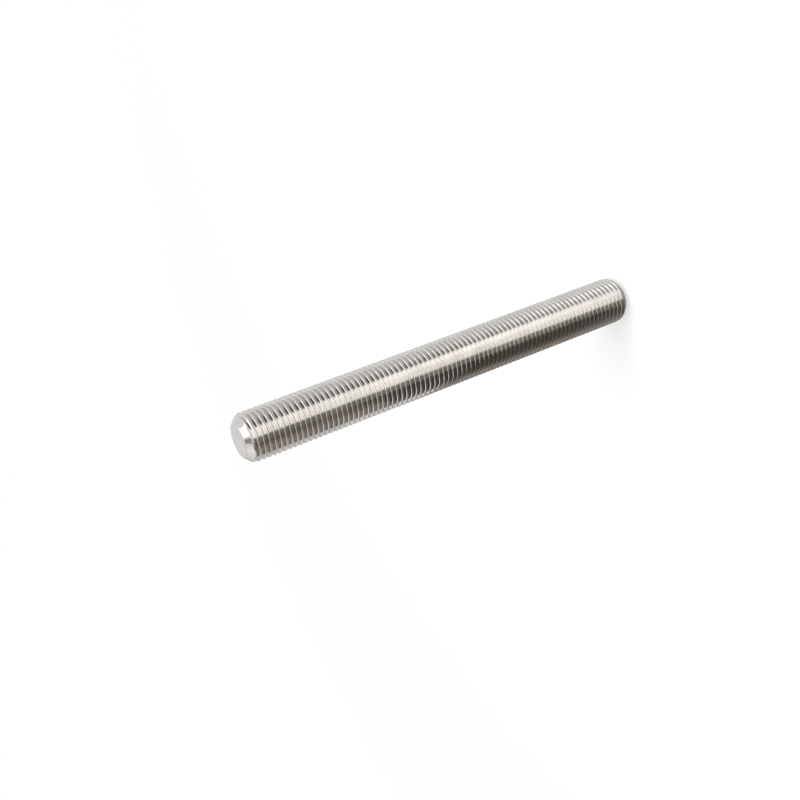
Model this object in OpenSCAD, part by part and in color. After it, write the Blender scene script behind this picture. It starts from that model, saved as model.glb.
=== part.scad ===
// Threaded rod: a stainless steel bar with a right-hand metric thread over its whole length and a chamfer
// at both ends. It stands on one end, with the thread's axis on Z.

/* [Rod] */
// Length from end face to end face
rod_length = 250; // [60:5:300]
// Nominal size of the thread, measured over its crests
major_diameter = 27; // [20:0.5:39]

/* [Thread] */
// Distance from one crest to the next
pitch = 3; // [2:0.25:4]
// Angle between the two flanks of a groove
thread_angle = 60; // [50:1:70]

/* [Ends] */
// Length of the chamfer along the axis
chamfer_length = 4; // [1:0.25:5]
// Slope of the chamfer, measured from the axis
chamfer_angle = 45; // [30:1:55]

/* [Smoothness] */
// Largest number of triangles that the whole thread may take
thread_triangles = 10400; // [6000:200:10800]

/* [Hidden] */
$fn = 96;

major_radius = major_diameter / 2;
face_radius = major_radius - chamfer_length * tan(chamfer_angle);

// Metric profile: the crest is an eighth of the pitch wide, and the groove is 17/24 as deep as the sharp
// triangle is high
half_angle = thread_angle / 2;
crest_flat = pitch / 8;
sharp_height = pitch / 2 / tan(half_angle);
thread_depth = 17 / 24 * sharp_height;
root_radius = major_radius - thread_depth;
root_flat = pitch - crest_flat - 2 * thread_depth * tan(half_angle);
flank_rise = (pitch - root_flat) / 2;
ridge_radius = root_radius + flank_rise / tan(half_angle);

// Turns of the helix beyond each end of the rod, so that the chamfers cut full grooves
spare_turns = 1.2;
turns = rod_length / pitch + 2 * spare_turns;

// One pitch of the profile is a root and two flanks, from the foot of one groove to the foot of the next
corners = [[root_radius, 0], [root_radius, root_flat], [ridge_radius, root_flat + flank_rise]];
bands = len(corners);
steps_per_turn = floor(thread_triangles / (2 * bands * turns));
last_row = ceil((turns - 1) * steps_per_turn);

// Flat facets lie as far inside the true radius at their middles as outside it at their edges
facet_spread = 2 / (1 + cos(180 / steps_per_turn));

// Bar at the major diameter with both chamfers, before the thread is cut
module blank() {
    rotate_extrude()
        polygon([
            [0, 0],
            [face_radius, 0],
            [major_radius, chamfer_length],
            [major_radius, rod_length - chamfer_length],
            [face_radius, rod_length],
            [0, rod_length]
        ]);
}

// Height of a row's first corner
function row_height(row) = pitch * (row / steps_per_turn - spare_turns);

// A corner of the profile, turned to its place on the helix
function helix_point(row, corner) =
    let (angle = 360 * row / steps_per_turn, radius = facet_spread * corner[0])
    [radius * cos(angle), radius * sin(angle), row_height(row) + corner[1]];

// Number of a row's corner in the list of points, where the corner after the last is the first one a turn on
function at(row, corner) =
    corner < bands ? bands * row + corner : bands * (row + steps_per_turn);

// Right-hand screw, longer than the rod, with sharp ridges that stand proud of the major diameter
module screw() {
    rim = last_row + steps_per_turn;
    foot = bands * (rim + 1);
    top = foot + 1;
    polyhedron(
        points = [
            for (row = [0:rim], corner = corners) helix_point(row, corner),
            [0, 0, row_height(0)],
            [0, 0, row_height(rim)]
        ],
        faces = [
            for (row = [0:last_row - 1], band = [0:bands - 1]) each [
                [at(row, band), at(row, band + 1), at(row + 1, band + 1)],
                [at(row, band), at(row + 1, band + 1), at(row + 1, band)]
            ],
            for (band = [0:bands - 1]) [at(0, band + 1), at(0, band), foot],
            for (row = [0:steps_per_turn - 1]) [at(row, 0), at(row + 1, 0), foot],
            for (band = [0:bands - 1]) [at(last_row, band), at(last_row, band + 1), top],
            for (row = [last_row:rim - 1]) [at(row + 1, 0), at(row, 0), top]
        ],
        convexity = 10
    );
}

module threaded_rod() {
    color("silver")
        intersection() {
            blank();
            screw();
        }
}

threaded_rod();
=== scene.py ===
"""Looks for the threaded rod: a right-hand screw in brushed stainless steel, standing on a pale floor."""

import math

import bmesh
import bpy
from mathutils import Matrix, Vector


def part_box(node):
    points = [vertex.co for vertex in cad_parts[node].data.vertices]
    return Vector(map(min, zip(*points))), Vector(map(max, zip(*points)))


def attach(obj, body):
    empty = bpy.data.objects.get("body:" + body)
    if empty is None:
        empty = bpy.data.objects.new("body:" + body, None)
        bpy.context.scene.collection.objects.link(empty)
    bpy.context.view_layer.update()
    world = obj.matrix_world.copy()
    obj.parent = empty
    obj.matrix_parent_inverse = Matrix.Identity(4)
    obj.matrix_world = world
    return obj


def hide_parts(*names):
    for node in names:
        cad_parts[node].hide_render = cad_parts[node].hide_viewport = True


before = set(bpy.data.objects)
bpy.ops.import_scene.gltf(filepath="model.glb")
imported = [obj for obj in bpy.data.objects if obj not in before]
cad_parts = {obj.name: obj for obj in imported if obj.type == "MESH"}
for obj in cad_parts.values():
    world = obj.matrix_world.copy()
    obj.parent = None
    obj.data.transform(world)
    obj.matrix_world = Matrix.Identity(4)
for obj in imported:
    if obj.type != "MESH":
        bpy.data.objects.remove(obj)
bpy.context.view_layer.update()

MM = 0.001
NODE = "threaded_rod"

# Rod: the metric thread that the CAD model has, with its chamfers
node_low, node_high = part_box(NODE)
ROD_LENGTH = node_high.z - node_low.z
MAJOR_RADIUS = 13.5 * MM
PITCH = 3 * MM
HALF_ANGLE = math.radians(30)
CHAMFER_LENGTH = 4 * MM
FACE_RADIUS = MAJOR_RADIUS - CHAMFER_LENGTH

# Profile: a root with round corners, flanks that bend a little near the crest, and a narrow crest with round edges.
# Slopes are in degrees from the rod's length. An arc is (radius, slope at its start, slope at its end, steps).
SHARP_HEIGHT = PITCH / 2 / math.tan(HALF_ANGLE)
THREAD_DEPTH = 17 / 24 * SHARP_HEIGHT
FLANK_SLOPE = 60
BEND_SLOPE = 45
CHAMFER_SLOPE = 45
ROOT_ARC = (0.2 * MM, 0, FLANK_SLOPE, 2)
CREST_ARCS = (
    (1.5 * MM, FLANK_SLOPE, BEND_SLOPE, 2),
    (0.35 * MM, BEND_SLOPE, 0, 2),
)

# Ends: the edge between face and chamfer, and the long soft one between chamfer and crests
FACE_EDGE_ARC = (0.6 * MM, 90, CHAMFER_SLOPE, 2)
CHAMFER_EDGE_ARC = (5.0 * MM, CHAMFER_SLOPE, 0, 7)

# Fineness: steps round the screw and the blank, turns past each end, and how far the blank's side clears the crests
STEPS_PER_TURN = 64
BLANK_STEPS = 192
SPARE_TURNS = 1.5
BLANK_SPARE = 0.2 * MM

# Where round the rod the thread starts, and the angle from which an edge is shaded sharp
THREAD_START = 2 * math.pi * 0.3
SHARP_EDGE = math.radians(38)

# Camera: its height angle, its roll about the line of sight, its lens and sensor in millimetres, the range that it
# sees, its distance, and the point that it aims at
CAMERA_ELEVATION = math.radians(24.96)
CAMERA_ROLL = math.radians(111.2)
CAMERA_LENS = 49.08
CAMERA_SENSOR = 36
CAMERA_RANGE = (0.01, 20)
CAMERA_DISTANCE = 590.1 * MM
CAMERA_AIM = Vector((-10.3, 0, 157.8)) * MM

# Steel: its two tones, then for each kind of line the spacing across, the lumps round the rod, the length, the detail
STEEL_BRIGHT = (0.692, 0.669, 0.647, 1)
STEEL_DULL = (0.602, 0.579, 0.555, 1)
FINE_LINES = (0.09 * MM, 2.0, 2.4 * MM, 3.0)
BROAD_LINES = (0.6 * MM, 5.0, 1.6 * MM, 2.0)
LINE_ROUGHNESS = 0.6
PATCH_SIZE = 9 * MM
PATCH_DETAIL = 3.0
PATCH_ROUGHNESS = 0.55
FINE_SHARE_IN_TONE = 0.4
FINE_SHARE_IN_RELIEF = 0.5
SHEEN = (0.08, 0.12)
SHEEN_OF_LINES = 0.03
RELIEF_STRENGTH = 0.25
RELIEF_DEPTH = 0.02 * MM

# Floor: its tone, its half size, and the distances between which its shadow gives way to plain white
FLOOR_TONE = (0.93, 0.925, 0.92, 1)
FLOOR_HALF_SIZE = 6.0
FLOOR_FADE = (0.3, 1.0)
FLOOR_WHITE_NEAR = 0.55

# Softbox: its diameter, power and place
LAMP_SIZE = 0.7
LAMP_POWER = 8.0
LAMP_PLACE = (0.35, -0.25, 1.1)

# The floor's shaded spot under the foot, as the steel reflects it
FOOT_SHADE_RADIUS = 26 * MM
FOOT_SHADE_TONE = (0.3, 0.285, 0.27, 1)
FOOT_SHADE_STEPS = 48
FOOT_SHADE_LIFT = 0.01 * MM

# The dark card that stands for the next rod, a painted dark reflection on the rod's lower side: its place beside the
# rod, its edges toward and away from the camera, its height, and its two tones with the stretch over which the first
# gives way to the second
FLAG_SIDE = -40 * MM
FLAG_FRONT = -45 * MM
FLAG_REAR = 60 * MM
FLAG_HEIGHT = 160 * MM
FLAG_TONE_FRONT = (0.10, 0.088, 0.078, 1)
FLAG_TONE_REAR = (0.36, 0.32, 0.295, 1)
FLAG_FADE = (-12 * MM, 40 * MM)

# Studio as the polished steel sees it, in directions. Azimuth 0 is the camera's side, 90 is +X and 180 is behind the
# rod, in degrees. A panel is (azimuth from, to, edge), (elevation from, to, edge), colour, and lies over those above
# it. The words after it name what it lights: upper is the picture's upper side of the rod, lower its lower side.
STUDIO_BASE = (0.985, 1.0, 0.995, 1)
PANELS = (
    ((152, 190, 8), (-4, 27, 6), (0.90, 0.89, 0.90, 1)),        # behind: end face
    ((-190, -152, 8), (-4, 27, 6), (0.90, 0.89, 0.90, 1)),
    ((126, 135, 4), (32, 42, 3), (0.72, 0.73, 0.74, 1)),        # far upper rim
    ((-158, -122, 6), (46, 74, 6), (0.62, 0.59, 0.57, 1)),      # lower outer flanks, near
    ((-146, -118, 5), (29, 58, 5), (0.43, 0.405, 0.385, 1)),    # lower outer flanks, middle
    ((-172, -152, 6), (-10, 40, 5), (0.66, 0.64, 0.62, 1)),     # lower rim
    ((-122, -92, 4), (62, 80, 3), (0.30, 0.28, 0.27, 1)),       # lower outer flanks, far
    ((-134, 0, 14), (-60, 20, 10), (0.34, 0.305, 0.285, 1)),    # dark lower side
    ((-84, 0, 8), (-60, 20, 8), (0.225, 0.195, 0.175, 1)),      # darker part of it
    ((-88, -40, 8), (0, 47, 5), (0.26, 0.24, 0.22, 1)),         # dark above it
    ((-134, -118, 5), (22, 42, 4), (1.14, 1.12, 1.11, 1)),      # lower chamfer
    ((-84, -40, 5), (44, 56, 4), (0.62, 0.60, 0.58, 1)),        # softer crest lines
    ((-122, -86, 4), (38, 60, 4), (1.16, 1.14, 1.13, 1)),       # lower chamfer, front part
    ((0, 130, 20), (-65, -19, 9), (0.68, 0.665, 0.64, 1)),      # grey upper side
    ((0, 76, 12), (-65, -20, 13), (0.19, 0.178, 0.167, 1)),     # dark part of it
    ((-48, -12, 8), (-60, -36, 6), (0.29, 0.262, 0.24, 1)),     # less dark beside the band
    ((-46, -12, 8), (-36, 16, 6), (0.32, 0.293, 0.27, 1)),      # the same, higher
    ((-88, -70, 5), (-70, -28.5, 3), (0.46, 0.425, 0.40, 1)),   # near grooves, lower side, 3 steps
    ((-101, -86, 5), (-70, -23.5, 3), (0.46, 0.425, 0.40, 1)),
    ((-120, -99, 5), (-70, -18.5, 3), (0.46, 0.425, 0.40, 1)),
    ((-18, 35.5, 7), (-70, -27, 4), (2.07, 2.03, 2.01, 1)),     # bright front band
    ((-18, 39, 7), (-27, -16, 4), (2.15, 2.11, 2.09, 1)),       # the same, higher
    ((14, 37.5, 6), (-31, -19, 4), (2.6, 2.56, 2.52, 1)),       # its brighter part
    ((-18, 40, 7), (-16, 10, 4), (1.1, 1.1, 1.1, 1)),           # its upper end
    ((-85, -35, 8), (-100, -62, 8), (0.25, 0.24, 0.23, 1)),     # straight down, lower side
    ((95, 150, 8), (-100, -62, 8), (0.25, 0.24, 0.23, 1)),      # straight down, upper side
    ((9, 62, 6), (64, 77, 3), (2.2, 2.2, 2.2, 1)),              # chamfer's white patch
    ((62, 89, 5), (44, 77, 4), (2.2, 2.2, 2.2, 1)),             # the same, upper part
    ((95, 145, 5), (55, 76, 4), (2.3, 2.3, 2.3, 1)),            # upper outer flanks
    ((84, 100, 5), (66, 78, 4), (2.3, 2.3, 2.3, 1)),            # the same, front part
    ((-64, -14, 7), (58, 80, 5), (0.36, 0.35, 0.35, 1)),        # chamfer's dark spot
    ((135, 172, 8), (-60, -18, 8), (0.25, 0.24, 0.23, 1)),      # dark zones behind
    ((-172, -146, 8), (-60, -18, 8), (0.25, 0.24, 0.23, 1)),
)
AMBIENT = 0.8


def arc_points(arc, radius, height, bulge):
    """The points of an arc after its first one, which is at (radius, height); bulge is 1 outward, -1 hollow."""
    size, start, end, steps = arc
    first, last = math.radians(start), math.radians(end)
    points = []
    for i in range(1, steps + 1):
        slope = first + (last - first) * i / steps
        outward = bulge * size * (math.cos(slope) - math.cos(first))
        along = bulge * size * (math.sin(first) - math.sin(slope))
        points.append((radius + outward, height + along))
    return points


def screw_profile():
    """One pitch of the thread as (radius, height), from the middle of a root to the last point before the next."""
    root = [(MAJOR_RADIUS - THREAD_DEPTH, 0)]
    root += arc_points(ROOT_ARC, *root[0], -1)
    shape = [(0, 0)]
    for arc in CREST_ARCS:
        shape += arc_points(arc, *shape[-1], 1)
    crest_start = MAJOR_RADIUS - shape[-1][0]
    flank_height = (crest_start - root[-1][0]) * math.tan(HALF_ANGLE)
    crest = [(crest_start + radius, root[-1][1] + flank_height + height) for radius, height in shape]
    half = root + crest
    mirrored = [(radius, PITCH - height) for radius, height in reversed(half[1:])]
    return half + mirrored


def screw_mesh():
    """A right-hand screw longer than the rod, closed at both ends."""
    profile = screw_profile()
    bands = len(profile)
    turns = ROD_LENGTH / PITCH + 2 * SPARE_TURNS
    last_row = math.ceil((turns - 1) * STEPS_PER_TURN)
    rim = last_row + STEPS_PER_TURN

    def row_height(row):
        return PITCH * (row / STEPS_PER_TURN - SPARE_TURNS)

    def at(row, corner):
        return bands * row + corner if corner < bands else bands * (row + STEPS_PER_TURN)

    vertices = []
    for row in range(rim + 1):
        angle = 2 * math.pi * row / STEPS_PER_TURN + THREAD_START
        for radius, height in profile:
            vertices.append((radius * math.cos(angle), radius * math.sin(angle), row_height(row) + height))
    foot = len(vertices)
    top = foot + 1
    vertices += [(0, 0, row_height(0) - PITCH), (0, 0, row_height(rim) + PITCH)]

    faces = []
    for row in range(last_row):
        for band in range(bands):
            faces.append((at(row, band), at(row + 1, band), at(row + 1, band + 1), at(row, band + 1)))
    for row in range(STEPS_PER_TURN):
        faces.append((foot, at(row + 1, 0), at(row, 0)))
        faces.append((top, at(last_row + row, 0), at(last_row + row + 1, 0)))
    faces.append((foot, *[at(0, band) for band in range(bands + 1)]))
    faces.append((top, *[at(last_row, band) for band in range(bands, -1, -1)]))
    mesh = bpy.data.meshes.new("screw")
    mesh.from_pydata(vertices, [], faces)
    return mesh


def blank_mesh():
    """The bar with chamfered ends that trims the screw; its side stands a little clear of the crests."""
    half_bend = math.radians(CHAMFER_SLOPE / 2)
    face_cut = FACE_EDGE_ARC[0] * math.tan(half_bend)
    lower = [(FACE_RADIUS - face_cut, 0)]
    lower += arc_points(FACE_EDGE_ARC, *lower[-1], 1)
    side_cut = CHAMFER_EDGE_ARC[0] * math.tan(half_bend) * math.sqrt(0.5)
    lower.append((MAJOR_RADIUS - side_cut, CHAMFER_LENGTH - side_cut))
    lower += arc_points(CHAMFER_EDGE_ARC, *lower[-1], 1)
    lower.append((MAJOR_RADIUS + BLANK_SPARE, lower[-1][1] + BLANK_SPARE))
    outline = lower + [(radius, ROD_LENGTH - height) for radius, height in reversed(lower)]
    vertices = []
    for step in range(BLANK_STEPS):
        angle = 2 * math.pi * step / BLANK_STEPS
        for radius, height in outline:
            vertices.append((radius * math.cos(angle), radius * math.sin(angle), height))
    count = len(outline)
    faces = []
    for step in range(BLANK_STEPS):
        here, there = count * step, count * ((step + 1) % BLANK_STEPS)
        for i in range(count - 1):
            faces.append((here + i, there + i, there + i + 1, here + i + 1))
    faces.append(tuple(count * step for step in range(BLANK_STEPS - 1, -1, -1)))
    faces.append(tuple(count * step + count - 1 for step in range(BLANK_STEPS)))
    mesh = bpy.data.meshes.new("blank")
    mesh.from_pydata(vertices, [], faces)
    return mesh


def in_scene(name, data):
    """A new object in the scene."""
    thing = bpy.data.objects.new(name, data)
    bpy.context.scene.collection.objects.link(thing)
    return thing


def rod_object(steel):
    """The screw trimmed by the blank, with smooth flanks and sharp edges where the ends are cut."""
    rod = in_scene("steel_rod", screw_mesh())
    blank = in_scene("blank", blank_mesh())
    # The material's index marks the faces that come from the blank, until their edges are sharpened
    for piece, index in ((rod, 0), (blank, 1)):
        for _ in range(2):
            piece.data.materials.append(steel)
        piece.data.polygons.foreach_set("material_index", [index] * len(piece.data.polygons))
    cut = rod.modifiers.new("cut", "BOOLEAN")
    cut.operation = "INTERSECT"
    cut.solver = "MANIFOLD"
    cut.object = blank
    evaluated = rod.evaluated_get(bpy.context.evaluated_depsgraph_get())
    mesh = bpy.data.meshes.new_from_object(evaluated)
    rod.modifiers.clear()
    rod.data = mesh
    bpy.data.objects.remove(blank)

    shape = bmesh.new()
    shape.from_mesh(mesh)
    for face in shape.faces:
        face.smooth = True
    for edge in shape.edges:
        sides = {face.material_index for face in edge.link_faces}
        edge.smooth = len(sides) == 1 and edge.calc_face_angle(0) < SHARP_EDGE
    for face in shape.faces:
        face.material_index = 0
    shape.to_mesh(mesh)
    shape.free()
    mesh.materials.pop(index=1)

    level = rod.modifiers.new("flat flanks", "WEIGHTED_NORMAL")
    level.keep_sharp = True
    level.weight = 100
    evaluated = rod.evaluated_get(bpy.context.evaluated_depsgraph_get())
    rod.data = bpy.data.meshes.new_from_object(evaluated)
    rod.modifiers.clear()
    rod.data.name = "steel_rod"
    bpy.data.meshes.remove(mesh)
    return rod


class Nodes:
    """Short calls for building a node tree."""

    def __init__(self, tree):
        self.tree = tree
        tree.nodes.clear()

    def new(self, kind, inputs=None, **settings):
        node = self.tree.nodes.new(kind)
        for name, value in settings.items():
            setattr(node, name, value)
        for name, value in (inputs or {}).items():
            self.set(node.inputs[name], value)
        return node

    def set(self, socket, value):
        if isinstance(value, bpy.types.NodeSocket):
            self.tree.links.new(value, socket)
        else:
            socket.default_value = value

    def math(self, operation, *values):
        return self.new("ShaderNodeMath", dict(enumerate(values)), operation=operation).outputs[0]

    def ramp(self, value, start, end, low=0.0, high=1.0):
        """Smooth change from low to high as value goes from start to end."""
        ends = {"Value": value, "From Min": start, "From Max": end, "To Min": low, "To Max": high}
        return self.new("ShaderNodeMapRange", ends, interpolation_type="SMOOTHSTEP").outputs[0]

    def mix(self, factor, first, second):
        """First colour where factor is 0, second where it is 1; 6 and 7 are the node's colour sockets."""
        node = self.new("ShaderNodeMix", {0: factor, 6: first, 7: second}, data_type="RGBA")
        return node.outputs[2]


def new_material(name):
    """A material and the empty node tree to build it in."""
    material = bpy.data.materials.new(name)
    material.use_nodes = True
    return material, Nodes(material.node_tree)


def steel_material():
    """Brushed stainless steel: fine lines along the thread and round the end faces, and a patchy sheen."""
    material, n = new_material("steel")
    place = n.new("ShaderNodeSeparateXYZ", {0: n.new("ShaderNodeTexCoord").outputs["Object"]}).outputs
    x, y, z = place[0], place[1], place[2]
    radius = n.math("SQRT", n.math("ADD", n.math("MULTIPLY", x, x), n.math("MULTIPLY", y, y)))
    across = n.math("DIVIDE", x, radius)
    along = n.math("DIVIDE", y, radius)

    def lines(spacing, round_scale, length, detail):
        """Noise in lines of one radius: along the flanks and the roots, and round the end faces."""
        spot = n.new("ShaderNodeCombineXYZ", {
            0: n.math("DIVIDE", radius, spacing),
            1: n.math("MULTIPLY", across, round_scale),
            2: n.math("MULTIPLY", along, round_scale),
        }).outputs[0]
        inputs = {
            "Vector": spot,
            "W": n.math("DIVIDE", z, length),
            "Scale": 1.0,
            "Detail": detail,
            "Roughness": LINE_ROUGHNESS,
        }
        return n.new("ShaderNodeTexNoise", inputs, noise_dimensions="4D").outputs[0]

    fine = lines(*FINE_LINES)
    broad = lines(*BROAD_LINES)
    patches = n.new("ShaderNodeTexNoise", {
        "Vector": n.new("ShaderNodeTexCoord").outputs["Object"],
        "Scale": 1 / PATCH_SIZE,
        "Detail": PATCH_DETAIL,
        "Roughness": PATCH_ROUGHNESS,
    }).outputs[0]

    # Noise lies round 0.5, so the ramps take in its middle part
    fine_share = n.math("MULTIPLY", fine, FINE_SHARE_IN_TONE)
    patch_share = n.math("MULTIPLY", patches, 1 - FINE_SHARE_IN_TONE)
    mottle = n.math("ADD", fine_share, patch_share)
    colour = n.mix(n.ramp(mottle, 0.35, 0.65), STEEL_DULL, STEEL_BRIGHT)
    roughness = n.math("ADD", n.ramp(patches, 0.3, 0.7, *SHEEN), n.ramp(fine, 0.3, 0.7, 0.0, SHEEN_OF_LINES))
    relief = n.math("ADD", n.math("MULTIPLY", fine, FINE_SHARE_IN_RELIEF), broad)
    bump = n.new("ShaderNodeBump", {
        "Strength": RELIEF_STRENGTH,
        "Distance": RELIEF_DEPTH,
        "Height": relief,
    }).outputs[0]
    shader = n.new("ShaderNodeBsdfPrincipled", {
        "Base Color": colour,
        "Roughness": roughness,
        "Metallic": 1.0,
        "Normal": bump,
    })
    n.new("ShaderNodeOutputMaterial", {"Surface": shader.outputs[0]})
    return material


def floor_material():
    """Pale floor that shows white, and keeps a soft share of the shadow."""
    material, n = new_material("floor")
    matt = n.new("ShaderNodeBsdfDiffuse", {"Color": FLOOR_TONE}).outputs[0]
    white = n.new("ShaderNodeEmission", {"Color": (1, 1, 1, 1), "Strength": 1.0}).outputs[0]
    seen = n.new("ShaderNodeLightPath").outputs["Is Camera Ray"]
    away = n.new("ShaderNodeVectorMath", {0: n.new("ShaderNodeTexCoord").outputs["Object"]}, operation="LENGTH")
    share = n.ramp(away.outputs["Value"], *FLOOR_FADE, FLOOR_WHITE_NEAR, 1.0)
    mixed = n.new("ShaderNodeMixShader", {0: n.math("MULTIPLY", seen, share), 1: matt, 2: white}).outputs[0]
    n.new("ShaderNodeOutputMaterial", {"Surface": mixed})
    return material


def studio_world():
    """White for the camera, an even light for matt surfaces, and panels for what polished metal reflects."""
    world = bpy.data.worlds.new("studio")
    bpy.context.scene.world = world
    world.use_nodes = True
    n = Nodes(world.node_tree)
    toward = n.new("ShaderNodeSeparateXYZ", {0: n.new("ShaderNodeTexCoord").outputs["Generated"]}).outputs
    degrees = 180 / math.pi
    backward = n.math("MULTIPLY", toward[1], -1.0)
    azimuth = n.math("MULTIPLY", n.math("ARCTAN2", toward[0], backward), degrees)
    elevation = n.math("MULTIPLY", n.math("ARCSINE", toward[2]), degrees)

    def inside(value, low, high, edge):
        """1 between low and high, 0 outside, with a soft change of twice the edge's width at each."""
        enters = n.ramp(value, low - edge, low + edge)
        leaves = n.ramp(value, high - edge, high + edge, 1.0, 0.0)
        return n.math("MULTIPLY", enters, leaves)

    colour = STUDIO_BASE
    for across, up, panel in PANELS:
        share = n.math("MULTIPLY", inside(azimuth, *across), inside(elevation, *up))
        colour = n.mix(share, colour, panel)
    path = n.new("ShaderNodeLightPath").outputs
    panels = n.new("ShaderNodeBackground", {"Color": colour}).outputs[0]
    ambient = n.new("ShaderNodeBackground", {"Color": (1, 1, 1, 1), "Strength": AMBIENT}).outputs[0]
    white = n.new("ShaderNodeBackground", {"Color": (1, 1, 1, 1), "Strength": 1.0}).outputs[0]
    lit = n.new("ShaderNodeMixShader", {0: path["Is Glossy Ray"], 1: ambient, 2: panels}).outputs[0]
    shown = n.new("ShaderNodeMixShader", {0: path["Is Camera Ray"], 1: lit, 2: white}).outputs[0]
    n.new("ShaderNodeOutputWorld", {"Surface": shown})


def add_floor():
    """The floor, which the steel does not reflect."""
    mesh = bpy.data.meshes.new("floor")
    size = FLOOR_HALF_SIZE
    corners = [(-size, -size, 0), (size, -size, 0), (size, size, 0), (-size, size, 0)]
    mesh.from_pydata(corners, [], [(0, 1, 2, 3)])
    mesh.materials.append(floor_material())
    floor = in_scene("floor", mesh)
    floor.visible_glossy = False


def add_lamp():
    """A soft lamp that gives the floor its shadow."""
    lamp = bpy.data.lights.new("softbox", "AREA")
    lamp.shape = "DISK"
    lamp.size = LAMP_SIZE
    lamp.energy = LAMP_POWER
    softbox = in_scene("softbox", lamp)
    softbox.location = LAMP_PLACE
    softbox.rotation_euler = (-softbox.location).to_track_quat("-Z", "Y").to_euler()
    softbox.visible_glossy = False


def add_foot_shade():
    """The floor's shaded spot under the rod's foot, as the steel reflects it."""
    material, n = new_material("foot shade")
    away = n.new("ShaderNodeVectorMath", {0: n.new("ShaderNodeTexCoord").outputs["Object"]}, operation="LENGTH")
    light = n.ramp(away.outputs["Value"], MAJOR_RADIUS, FOOT_SHADE_RADIUS)
    colour = n.mix(light, FOOT_SHADE_TONE, STUDIO_BASE)
    n.new("ShaderNodeOutputMaterial", {"Surface": n.new("ShaderNodeEmission", {"Color": colour}).outputs[0]})
    mesh = bpy.data.meshes.new("foot_shade")
    shape = bmesh.new()
    bmesh.ops.create_circle(shape, cap_ends=True, segments=FOOT_SHADE_STEPS, radius=FOOT_SHADE_RADIUS)
    shape.to_mesh(mesh)
    shape.free()
    mesh.materials.append(material)
    shade = in_scene("foot_shade", mesh)
    shade.location.z = FOOT_SHADE_LIFT
    show_in_reflections_only(shade)


def show_in_reflections_only(thing):
    """Hides a piece of the stage from everything but the steel's reflections."""
    thing.visible_camera = False
    thing.visible_diffuse = False
    thing.visible_transmission = False
    thing.visible_shadow = False


def add_flag():
    """Painted dark reflection: a card beside the rod's lower end, seen in its reflections only, in place of the next
    rod.
    """
    material, n = new_material("flag")
    place = n.new("ShaderNodeSeparateXYZ", {0: n.new("ShaderNodeTexCoord").outputs["Object"]}).outputs
    colour = n.mix(n.ramp(place[1], *FLAG_FADE), FLAG_TONE_FRONT, FLAG_TONE_REAR)
    n.new("ShaderNodeOutputMaterial", {"Surface": n.new("ShaderNodeEmission", {"Color": colour}).outputs[0]})
    mesh = bpy.data.meshes.new("flag")
    corners = [
        (FLAG_SIDE, FLAG_FRONT, 0),
        (FLAG_SIDE, FLAG_REAR, 0),
        (FLAG_SIDE, FLAG_REAR, FLAG_HEIGHT),
        (FLAG_SIDE, FLAG_FRONT, FLAG_HEIGHT),
    ]
    mesh.from_pydata(corners, [], [(0, 1, 2, 3)])
    mesh.materials.append(material)
    show_in_reflections_only(in_scene("flag", mesh))


def add_camera():
    """Looks down at the rod's upper end, rolled so that the rod lies across the picture."""
    lens = bpy.data.cameras.new("camera")
    lens.sensor_width = CAMERA_SENSOR
    lens.lens = CAMERA_LENS
    lens.clip_start, lens.clip_end = CAMERA_RANGE
    camera = in_scene("camera", lens)
    forward = Vector((0, math.cos(CAMERA_ELEVATION), -math.sin(CAMERA_ELEVATION)))
    level = forward.cross(Vector((0, 0, 1))).normalized()
    upright = level.cross(forward)
    up = upright * math.cos(CAMERA_ROLL) + level * math.sin(CAMERA_ROLL)
    right = forward.cross(up)
    turned = Matrix((right, up, -forward)).transposed()
    camera.matrix_world = Matrix.Translation(CAMERA_AIM - forward * CAMERA_DISTANCE) @ turned.to_4x4()
    bpy.context.scene.camera = camera


add_camera()
rod = rod_object(steel_material())
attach(rod, "root")
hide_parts(NODE)
add_floor()
add_lamp()
add_flag()
add_foot_shade()
studio_world()
bpy.context.scene.view_settings.view_transform = "Standard"
